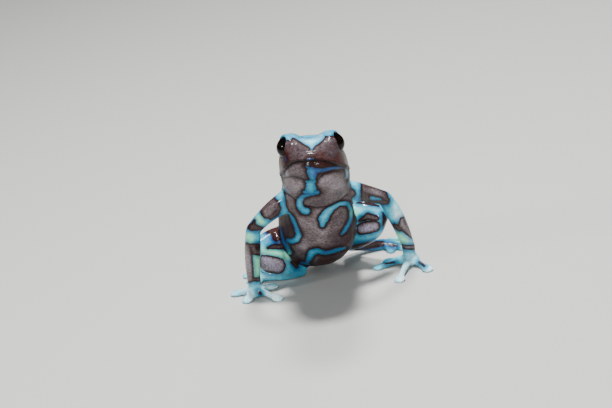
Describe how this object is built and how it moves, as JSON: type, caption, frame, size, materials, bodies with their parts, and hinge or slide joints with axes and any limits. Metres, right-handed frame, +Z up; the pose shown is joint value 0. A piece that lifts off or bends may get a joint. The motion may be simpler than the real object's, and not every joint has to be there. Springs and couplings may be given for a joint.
{
  "type": "poison dart frog, still life-size model",
  "caption": "Small poison dart frog propped up on its forelimbs with folded hind legs, head raised, blue markings on bronze skin.",
  "frame": {"origin": "middle of the bounding box, on the floor that the frog rests on", "axes": "+X towards the frog's left side, +Y towards its rear, so that it faces -Y, +Z up"},
  "size_m": [0.0348, 0.0342, 0.0318],
  "materials": {
    "head_skin": "moist, smooth skin with a satin sheen",
    "body_skin": "moist, finely granular skin",
    "limb_skin": "wet, glossy skin",
    "foot_skin": "wet, glossy skin",
    "eye": "wet, mirror smooth"
  },
  "bodies": {
    "root": {"head": "head_skin", "torso": "body_skin", "eye_r": "eye", "eye_l": "eye", "upper_arm_r": "limb_skin", "forearm_r": "limb_skin", "hand_r": "foot_skin", "upper_arm_l": "limb_skin", "forearm_l": "limb_skin", "hand_l": "foot_skin", "thigh_r": "limb_skin", "shank_r": "limb_skin", "tarsus_r": "limb_skin", "foot_r": "foot_skin", "thigh_l": "limb_skin", "shank_l": "limb_skin", "tarsus_l": "limb_skin", "foot_l": "foot_skin"}
  },
  "joints": []
}
